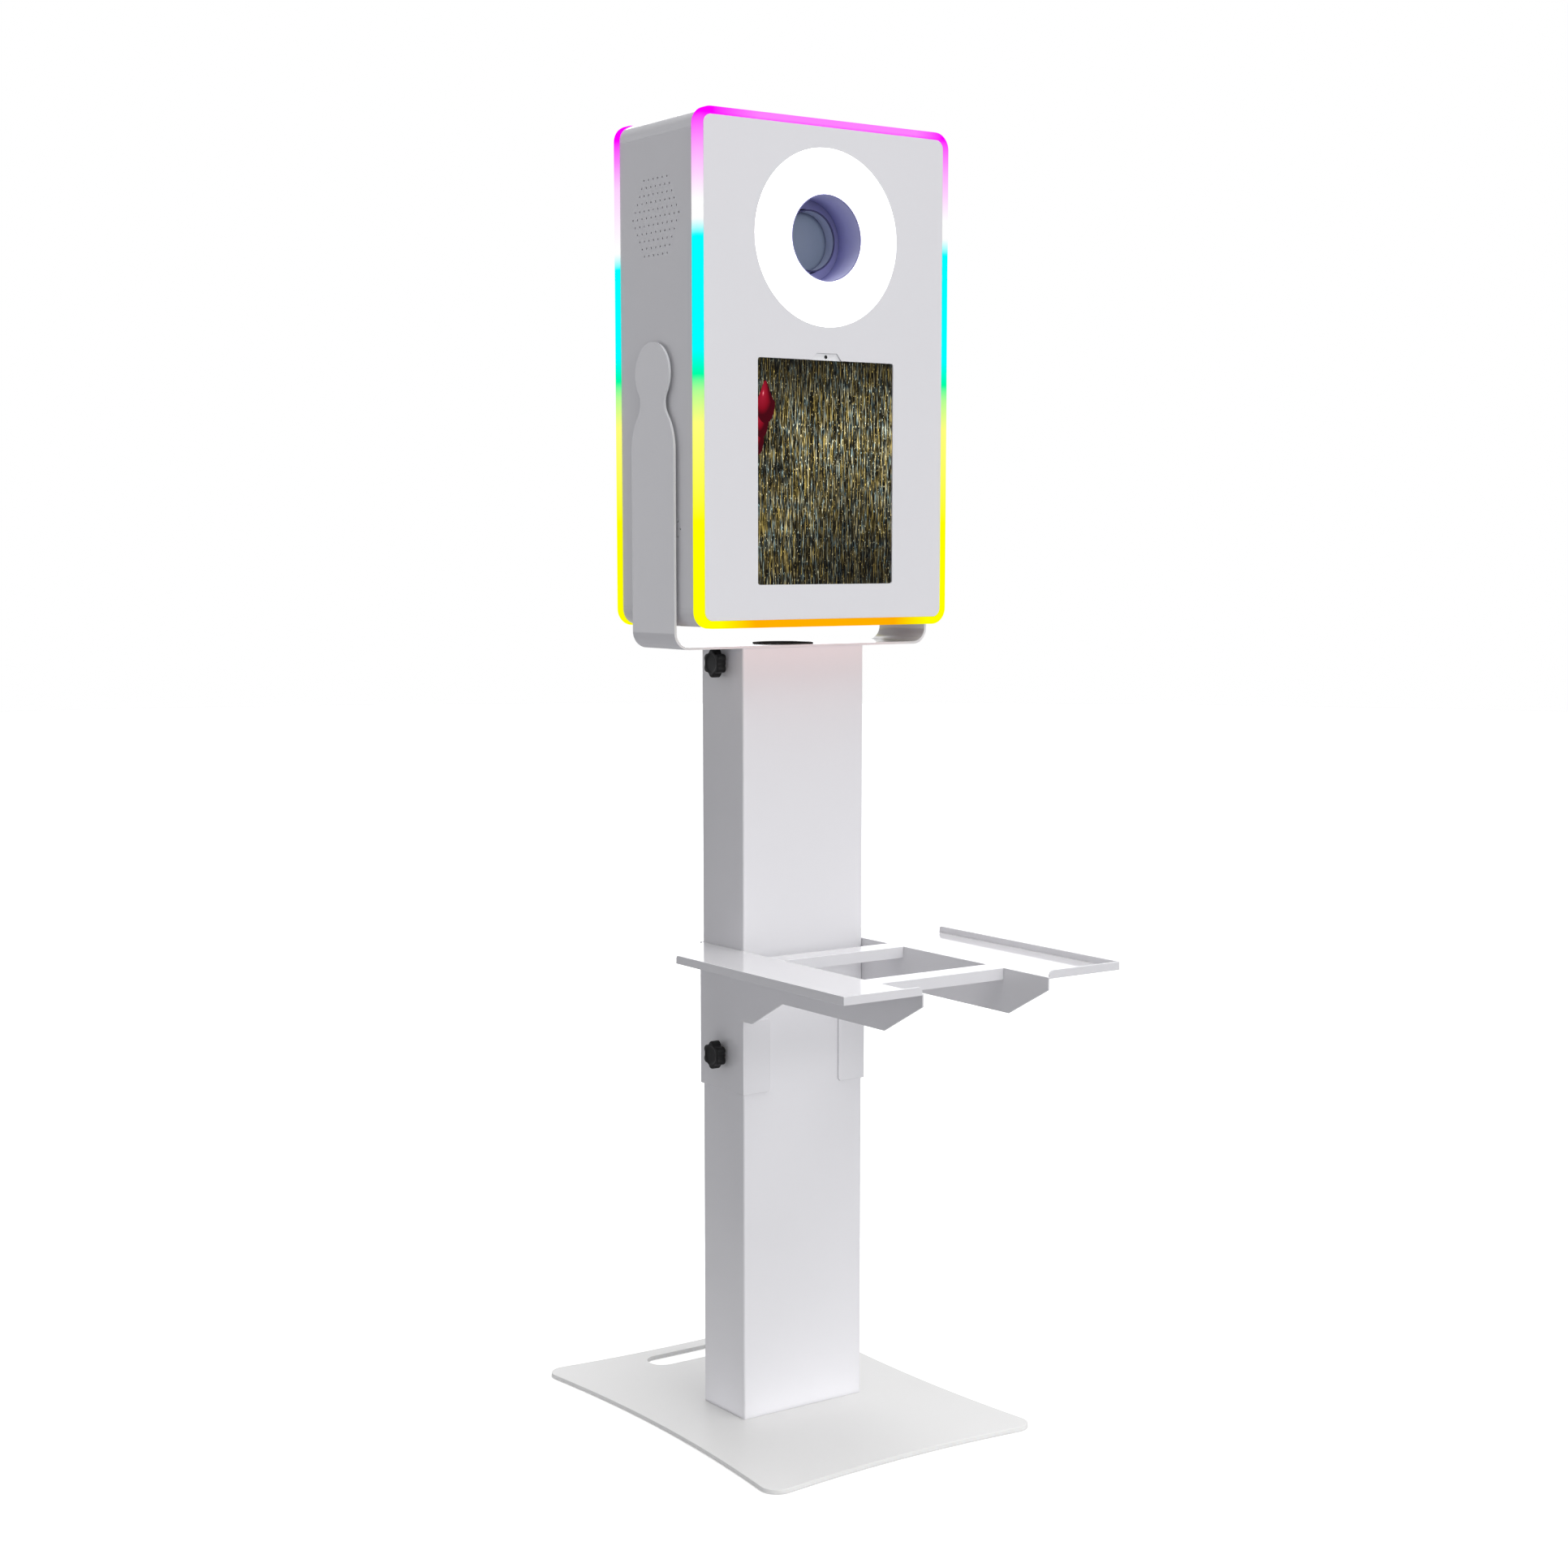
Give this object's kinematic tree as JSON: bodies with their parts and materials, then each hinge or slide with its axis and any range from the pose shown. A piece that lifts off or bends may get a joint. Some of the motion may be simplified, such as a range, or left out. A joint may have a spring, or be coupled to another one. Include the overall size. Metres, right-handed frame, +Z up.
{
  "type": "photo booth",
  "caption": "Free-standing photo booth: tilting lit head with camera, ring light and tablet on a telescoping column, with a printer tray and base plate.",
  "frame": {"origin": "on the floor under the middle of the column", "axes": "+X to the right as seen from the front, +Y to the back, +Z up; the front faces -Y"},
  "size_m": [0.4, 0.6611, 1.583],
  "materials": {
    "white_coat": "satin white powder coat",
    "black_plastic": "matte black moulded plastic",
    "rubber_pad": "black rubber",
    "slide_plastic": "off-white low-friction plastic",
    "zinc_steel": "zinc-plated steel",
    "light_frame": "translucent diffuser lit by coloured LEDs",
    "light_disc": "opal white diffuser, lit",
    "circuit_board": "white LED board",
    "tunnel_finish": "violet-tinted satin plastic",
    "camera_black": "fine-grained black camera shell",
    "lens_coating": "coated glass",
    "tablet_case": "satin silver with a white bezel",
    "screen_glass": "lit display behind glass",
    "chrome_lock": "polished plated metal"
  },
  "bodies": {
    "stand": {"base_plate": "white_coat", "base_pads": "rubber_pad", "column": "white_coat", "column_foot": "zinc_steel", "base_bolts": "zinc_steel", "mast_guide": "slide_plastic", "cable_exit_grommet": "rubber_pad", "upper_knob_boss": "zinc_steel"},
    "upper_knob_screw": {"upper_knob_stud": "zinc_steel"},
    "upper_knob": {"upper_knob_grip": "black_plastic"},
    "mast": {"mast_tube": "white_coat", "mast_slider": "slide_plastic", "mast_top_plate": "zinc_steel", "yoke": "white_coat", "yoke_screws": "white_coat", "cable_grommet": "rubber_pad", "pivot_studs": "zinc_steel", "pivot_nuts": "zinc_steel"},
    "head": {"top_cover": "white_coat", "bottom_cover": "white_coat", "left_side_panel": "white_coat", "right_side_panel": "white_coat", "front_frame": "white_coat", "rear_frame": "white_coat", "front_light_frame": "light_frame", "rear_light_frame": "light_frame", "front_led_strip": "circuit_board", "rear_led_strip": "circuit_board", "pivot_plates": "zinc_steel", "tilt_washers": "black_plastic", "front_panel": "white_coat", "ring_light_diffuser": "light_disc", "ring_light_tray": "white_coat", "ring_light_board": "circuit_board", "lens_tunnel": "tunnel_finish", "camera_lens": "camera_black", "lens_glass": "lens_coating", "camera_body": "camera_black", "camera_shelf": "white_coat", "tablet_body": "tablet_case", "tablet_screen": "screen_glass", "tablet_clips": "black_plastic", "power_supply": "zinc_steel", "led_controller": "black_plastic", "connector_panel": "white_coat", "power_inlet": "black_plastic", "switch_housing": "black_plastic", "door_hinge_frame": "chrome_lock"},
    "door": {"rear_door": "white_coat", "door_hinge_leaf": "chrome_lock", "door_lock": "chrome_lock"},
    "lock": {"lock_cam": "chrome_lock"},
    "power_key": {"power_rocker": "black_plastic"},
    "tray": {"tray_left_wing": "white_coat", "tray_right_wing": "white_coat", "tray_back_plate": "white_coat", "tray_crossbars": "white_coat", "lower_knob_boss": "zinc_steel"},
    "lower_knob_screw": {"lower_knob_stud": "zinc_steel"},
    "lower_knob": {"lower_knob_grip": "black_plastic"}
  },
  "joints": [
    {"name": "mast_lift", "type": "slide", "parent": "stand", "child": "mast", "axis": [0, 0, 1], "range_m": [0, 0.2]},
    {"name": "head_tilt", "type": "hinge", "parent": "mast", "child": "head", "pos_m": [0, 0, 1.2865], "axis": [1, 0, 0], "range_deg": [-30, 30]},
    {"name": "door_swing", "type": "hinge", "parent": "head", "child": "door", "pos_m": [0.172, 0.0935, 1.3268], "axis": [0, 0, -1], "range_deg": [0, 110]},
    {"name": "lock_turn", "type": "hinge", "parent": "door", "child": "lock", "pos_m": [-0.15, 0.091, 1.3268], "axis": [0, -1, 0], "range_deg": [0, 90]},
    {"name": "power_switch", "type": "hinge", "parent": "head", "child": "power_key", "pos_m": [0.04, 0.088, 1.039], "axis": [1, 0, 0], "range_deg": [0, 16]},
    {"name": "tray_lift", "type": "slide", "parent": "stand", "child": "tray", "axis": [0, 0, 1], "range_m": [-0.33, 0.3]},
    {"name": "upper_knob_turn", "type": "hinge", "parent": "upper_knob_screw", "child": "upper_knob", "pos_m": [-0.1, 0, 0.945], "axis": [-1, 0, 0], "range_deg": [0, 720]},
    {"name": "upper_knob_travel", "type": "slide", "parent": "stand", "child": "upper_knob_screw", "axis": [-1, 0, 0], "range_m": [0, 0.0025]},
    {"name": "lower_knob_turn", "type": "hinge", "parent": "lower_knob_screw", "child": "lower_knob", "pos_m": [-0.1, 0, 0.4628], "axis": [-1, 0, 0], "range_deg": [0, 720]},
    {"name": "lower_knob_travel", "type": "slide", "parent": "tray", "child": "lower_knob_screw", "axis": [-1, 0, 0], "range_m": [0, 0.0025]}
  ],
  "couplings": [
    {"joint": "upper_knob_turn", "follows": "upper_knob_travel", "rad_per_m": 5026.5},
    {"joint": "lower_knob_turn", "follows": "lower_knob_travel", "rad_per_m": 5026.5}
  ]
}
